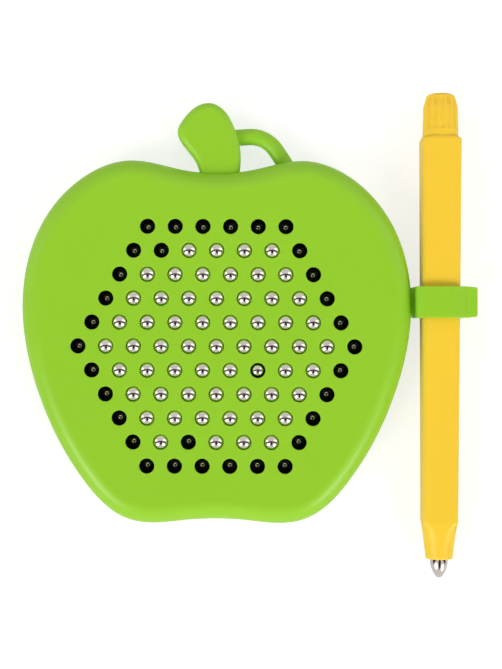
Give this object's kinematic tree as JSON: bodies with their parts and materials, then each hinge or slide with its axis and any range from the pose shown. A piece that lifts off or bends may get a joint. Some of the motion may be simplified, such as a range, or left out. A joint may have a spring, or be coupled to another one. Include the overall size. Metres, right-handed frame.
{
  "type": "magnetic ball drawing board",
  "caption": "Apple-shaped drawing board: steel balls in a hexagonal field of holes rise to a magnetic pen and are pushed back by hand; a side clip holds the pen.",
  "frame": {"origin": "on the flat back face, under the centre of the ball field", "axes": "+Z out of the drawing face, +Y towards the stem, +X towards the pen"},
  "size_m": [0.1323, 0.1422, 0.0146],
  "materials": {
    "green_shell": "satin moulded",
    "pen_yellow": "satin moulded",
    "nickel_steel": "polished",
    "black_tray": "moulded",
    "grip_foam": "soft sheet",
    "screw_steel": "zinc plated",
    "magnet_metal": "nickel plated magnet"
  },
  "bodies": {
    "board": {"front_shell": "green_shell", "back_cover": "green_shell", "ball_tray": "black_tray", "grip_sheet": "grip_foam", "cover_screws": "screw_steel", "stem_with_loop": "green_shell", "pen_clip": "green_shell"},
    "pen": {"pen_barrel": "pen_yellow", "pen_end_plug": "pen_yellow", "pen_magnet": "magnet_metal", "pen_tip": "nickel_steel"},
    "steel_ball_row02_02": {"steel_ball_row02_02": "nickel_steel"},
    "steel_ball_row03_03": {"steel_ball_row03_03": "nickel_steel"},
    "steel_ball_row03_04": {"steel_ball_row03_04": "nickel_steel"},
    "steel_ball_row03_05": {"steel_ball_row03_05": "nickel_steel"},
    "steel_ball_row03_06": {"steel_ball_row03_06": "nickel_steel"},
    "steel_ball_row04_03": {"steel_ball_row04_03": "nickel_steel"},
    "steel_ball_row04_04": {"steel_ball_row04_04": "nickel_steel"},
    "steel_ball_row04_05": {"steel_ball_row04_05": "nickel_steel"},
    "steel_ball_row04_06": {"steel_ball_row04_06": "nickel_steel"},
    "steel_ball_row04_07": {"steel_ball_row04_07": "nickel_steel"},
    "steel_ball_row05_03": {"steel_ball_row05_03": "nickel_steel"},
    "steel_ball_row05_04": {"steel_ball_row05_04": "nickel_steel"},
    "steel_ball_row05_05": {"steel_ball_row05_05": "nickel_steel"},
    "steel_ball_row05_06": {"steel_ball_row05_06": "nickel_steel"},
    "steel_ball_row05_07": {"steel_ball_row05_07": "nickel_steel"},
    "steel_ball_row05_08": {"steel_ball_row05_08": "nickel_steel"},
    "steel_ball_row06_03": {"steel_ball_row06_03": "nickel_steel"},
    "steel_ball_row06_04": {"steel_ball_row06_04": "nickel_steel"},
    "steel_ball_row06_05": {"steel_ball_row06_05": "nickel_steel"},
    "steel_ball_row06_06": {"steel_ball_row06_06": "nickel_steel"},
    "steel_ball_row06_07": {"steel_ball_row06_07": "nickel_steel"},
    "steel_ball_row06_08": {"steel_ball_row06_08": "nickel_steel"},
    "steel_ball_row06_09": {"steel_ball_row06_09": "nickel_steel"},
    "steel_ball_row07_03": {"steel_ball_row07_03": "nickel_steel"},
    "steel_ball_row07_04": {"steel_ball_row07_04": "nickel_steel"},
    "steel_ball_row07_05": {"steel_ball_row07_05": "nickel_steel"},
    "steel_ball_row07_06": {"steel_ball_row07_06": "nickel_steel"},
    "steel_ball_row07_07": {"steel_ball_row07_07": "nickel_steel"},
    "steel_ball_row07_08": {"steel_ball_row07_08": "nickel_steel"},
    "steel_ball_row08_03": {"steel_ball_row08_03": "nickel_steel"},
    "steel_ball_row08_04": {"steel_ball_row08_04": "nickel_steel"},
    "steel_ball_row08_05": {"steel_ball_row08_05": "nickel_steel"},
    "steel_ball_row08_06": {"steel_ball_row08_06": "nickel_steel"},
    "steel_ball_row08_07": {"steel_ball_row08_07": "nickel_steel"},
    "steel_ball_row09_03": {"steel_ball_row09_03": "nickel_steel"},
    "steel_ball_row09_04": {"steel_ball_row09_04": "nickel_steel"},
    "steel_ball_row09_05": {"steel_ball_row09_05": "nickel_steel"},
    "steel_ball_row09_06": {"steel_ball_row09_06": "nickel_steel"},
    "steel_ball_row10_03": {"steel_ball_row10_03": "nickel_steel"},
    "steel_balls_inner_bottom": {"steel_balls_inner_bottom": "nickel_steel"},
    "steel_balls_inner_lower_left": {"steel_balls_inner_lower_left": "nickel_steel"},
    "steel_balls_inner_lower_right": {"steel_balls_inner_lower_right": "nickel_steel"},
    "steel_balls_inner_top": {"steel_balls_inner_top": "nickel_steel"},
    "steel_balls_inner_upper_left": {"steel_balls_inner_upper_left": "nickel_steel"},
    "steel_balls_inner_upper_right": {"steel_balls_inner_upper_right": "nickel_steel"},
    "steel_balls_rim_bottom": {"steel_balls_rim_bottom": "nickel_steel"},
    "steel_balls_rim_left": {"steel_balls_rim_left": "nickel_steel"},
    "steel_balls_rim_right": {"steel_balls_rim_right": "nickel_steel"},
    "steel_balls_rim_top": {"steel_balls_rim_top": "nickel_steel"}
  },
  "joints": [
    {"name": "pen_slide", "type": "slide", "parent": "board", "child": "pen", "axis": [0, 1, 0], "range_m": [0, 0.09]},
    {"name": "steel_ball_row02_02_lift", "type": "slide", "parent": "board", "child": "steel_ball_row02_02", "axis": [0, 0, 1], "range_m": [0, 0.0044]},
    {"name": "steel_ball_row03_03_lift", "type": "slide", "parent": "board", "child": "steel_ball_row03_03", "axis": [0, 0, 1], "range_m": [-0.0044, 0]},
    {"name": "steel_ball_row03_04_lift", "type": "slide", "parent": "board", "child": "steel_ball_row03_04", "axis": [0, 0, 1], "range_m": [-0.0044, 0]},
    {"name": "steel_ball_row03_05_lift", "type": "slide", "parent": "board", "child": "steel_ball_row03_05", "axis": [0, 0, 1], "range_m": [-0.0044, 0]},
    {"name": "steel_ball_row03_06_lift", "type": "slide", "parent": "board", "child": "steel_ball_row03_06", "axis": [0, 0, 1], "range_m": [-0.0044, 0]},
    {"name": "steel_ball_row04_03_lift", "type": "slide", "parent": "board", "child": "steel_ball_row04_03", "axis": [0, 0, 1], "range_m": [-0.0044, 0]},
    {"name": "steel_ball_row04_04_lift", "type": "slide", "parent": "board", "child": "steel_ball_row04_04", "axis": [0, 0, 1], "range_m": [-0.0044, 0]},
    {"name": "steel_ball_row04_05_lift", "type": "slide", "parent": "board", "child": "steel_ball_row04_05", "axis": [0, 0, 1], "range_m": [-0.0044, 0]},
    {"name": "steel_ball_row04_06_lift", "type": "slide", "parent": "board", "child": "steel_ball_row04_06", "axis": [0, 0, 1], "range_m": [-0.0044, 0]},
    {"name": "steel_ball_row04_07_lift", "type": "slide", "parent": "board", "child": "steel_ball_row04_07", "axis": [0, 0, 1], "range_m": [-0.0044, 0]},
    {"name": "steel_ball_row05_03_lift", "type": "slide", "parent": "board", "child": "steel_ball_row05_03", "axis": [0, 0, 1], "range_m": [-0.0044, 0]},
    {"name": "steel_ball_row05_04_lift", "type": "slide", "parent": "board", "child": "steel_ball_row05_04", "axis": [0, 0, 1], "range_m": [-0.0044, 0]},
    {"name": "steel_ball_row05_05_lift", "type": "slide", "parent": "board", "child": "steel_ball_row05_05", "axis": [0, 0, 1], "range_m": [-0.0044, 0]},
    {"name": "steel_ball_row05_06_lift", "type": "slide", "parent": "board", "child": "steel_ball_row05_06", "axis": [0, 0, 1], "range_m": [-0.0044, 0]},
    {"name": "steel_ball_row05_07_lift", "type": "slide", "parent": "board", "child": "steel_ball_row05_07", "axis": [0, 0, 1], "range_m": [-0.0044, 0]},
    {"name": "steel_ball_row05_08_lift", "type": "slide", "parent": "board", "child": "steel_ball_row05_08", "axis": [0, 0, 1], "range_m": [-0.0044, 0]},
    {"name": "steel_ball_row06_03_lift", "type": "slide", "parent": "board", "child": "steel_ball_row06_03", "axis": [0, 0, 1], "range_m": [-0.0044, 0]},
    {"name": "steel_ball_row06_04_lift", "type": "slide", "parent": "board", "child": "steel_ball_row06_04", "axis": [0, 0, 1], "range_m": [-0.0044, 0]},
    {"name": "steel_ball_row06_05_lift", "type": "slide", "parent": "board", "child": "steel_ball_row06_05", "axis": [0, 0, 1], "range_m": [-0.0044, 0]},
    {"name": "steel_ball_row06_06_lift", "type": "slide", "parent": "board", "child": "steel_ball_row06_06", "axis": [0, 0, 1], "range_m": [-0.0044, 0]},
    {"name": "steel_ball_row06_07_lift", "type": "slide", "parent": "board", "child": "steel_ball_row06_07", "axis": [0, 0, 1], "range_m": [-0.0044, 0]},
    {"name": "steel_ball_row06_08_lift", "type": "slide", "parent": "board", "child": "steel_ball_row06_08", "axis": [0, 0, 1], "range_m": [-0.0044, 0]},
    {"name": "steel_ball_row06_09_lift", "type": "slide", "parent": "board", "child": "steel_ball_row06_09", "axis": [0, 0, 1], "range_m": [-0.0044, 0]},
    {"name": "steel_ball_row07_03_lift", "type": "slide", "parent": "board", "child": "steel_ball_row07_03", "axis": [0, 0, 1], "range_m": [-0.0044, 0]},
    {"name": "steel_ball_row07_04_lift", "type": "slide", "parent": "board", "child": "steel_ball_row07_04", "axis": [0, 0, 1], "range_m": [-0.0044, 0]},
    {"name": "steel_ball_row07_05_lift", "type": "slide", "parent": "board", "child": "steel_ball_row07_05", "axis": [0, 0, 1], "range_m": [-0.0044, 0]},
    {"name": "steel_ball_row07_06_lift", "type": "slide", "parent": "board", "child": "steel_ball_row07_06", "axis": [0, 0, 1], "range_m": [-0.0044, 0]},
    {"name": "steel_ball_row07_07_lift", "type": "slide", "parent": "board", "child": "steel_ball_row07_07", "axis": [0, 0, 1], "range_m": [-0.0035, 0.0009]},
    {"name": "steel_ball_row07_08_lift", "type": "slide", "parent": "board", "child": "steel_ball_row07_08", "axis": [0, 0, 1], "range_m": [-0.0044, 0]},
    {"name": "steel_ball_row08_03_lift", "type": "slide", "parent": "board", "child": "steel_ball_row08_03", "axis": [0, 0, 1], "range_m": [-0.0044, 0]},
    {"name": "steel_ball_row08_04_lift", "type": "slide", "parent": "board", "child": "steel_ball_row08_04", "axis": [0, 0, 1], "range_m": [-0.0044, 0]},
    {"name": "steel_ball_row08_05_lift", "type": "slide", "parent": "board", "child": "steel_ball_row08_05", "axis": [0, 0, 1], "range_m": [-0.0044, 0]},
    {"name": "steel_ball_row08_06_lift", "type": "slide", "parent": "board", "child": "steel_ball_row08_06", "axis": [0, 0, 1], "range_m": [-0.0044, 0]},
    {"name": "steel_ball_row08_07_lift", "type": "slide", "parent": "board", "child": "steel_ball_row08_07", "axis": [0, 0, 1], "range_m": [-0.0044, 0]},
    {"name": "steel_ball_row09_03_lift", "type": "slide", "parent": "board", "child": "steel_ball_row09_03", "axis": [0, 0, 1], "range_m": [-0.0044, 0]},
    {"name": "steel_ball_row09_04_lift", "type": "slide", "parent": "board", "child": "steel_ball_row09_04", "axis": [0, 0, 1], "range_m": [-0.0044, 0]},
    {"name": "steel_ball_row09_05_lift", "type": "slide", "parent": "board", "child": "steel_ball_row09_05", "axis": [0, 0, 1], "range_m": [-0.0044, 0]},
    {"name": "steel_ball_row09_06_lift", "type": "slide", "parent": "board", "child": "steel_ball_row09_06", "axis": [0, 0, 1], "range_m": [-0.0044, 0]},
    {"name": "steel_ball_row10_03_lift", "type": "slide", "parent": "board", "child": "steel_ball_row10_03", "axis": [0, 0, 1], "range_m": [0, 0.0044]},
    {"name": "steel_balls_inner_bottom_lift", "type": "slide", "parent": "board", "child": "steel_balls_inner_bottom", "axis": [0, 0, 1], "range_m": [-0.0044, 0]},
    {"name": "steel_balls_inner_lower_left_lift", "type": "slide", "parent": "board", "child": "steel_balls_inner_lower_left", "axis": [0, 0, 1], "range_m": [-0.0044, 0]},
    {"name": "steel_balls_inner_lower_right_lift", "type": "slide", "parent": "board", "child": "steel_balls_inner_lower_right", "axis": [0, 0, 1], "range_m": [-0.0044, 0]},
    {"name": "steel_balls_inner_top_lift", "type": "slide", "parent": "board", "child": "steel_balls_inner_top", "axis": [0, 0, 1], "range_m": [-0.0044, 0]},
    {"name": "steel_balls_inner_upper_left_lift", "type": "slide", "parent": "board", "child": "steel_balls_inner_upper_left", "axis": [0, 0, 1], "range_m": [-0.0044, 0]},
    {"name": "steel_balls_inner_upper_right_lift", "type": "slide", "parent": "board", "child": "steel_balls_inner_upper_right", "axis": [0, 0, 1], "range_m": [-0.0044, 0]},
    {"name": "steel_balls_rim_bottom_lift", "type": "slide", "parent": "board", "child": "steel_balls_rim_bottom", "axis": [0, 0, 1], "range_m": [0, 0.0044]},
    {"name": "steel_balls_rim_left_lift", "type": "slide", "parent": "board", "child": "steel_balls_rim_left", "axis": [0, 0, 1], "range_m": [0, 0.0044]},
    {"name": "steel_balls_rim_right_lift", "type": "slide", "parent": "board", "child": "steel_balls_rim_right", "axis": [0, 0, 1], "range_m": [0, 0.0044]},
    {"name": "steel_balls_rim_top_lift", "type": "slide", "parent": "board", "child": "steel_balls_rim_top", "axis": [0, 0, 1], "range_m": [0, 0.0044]}
  ]
}
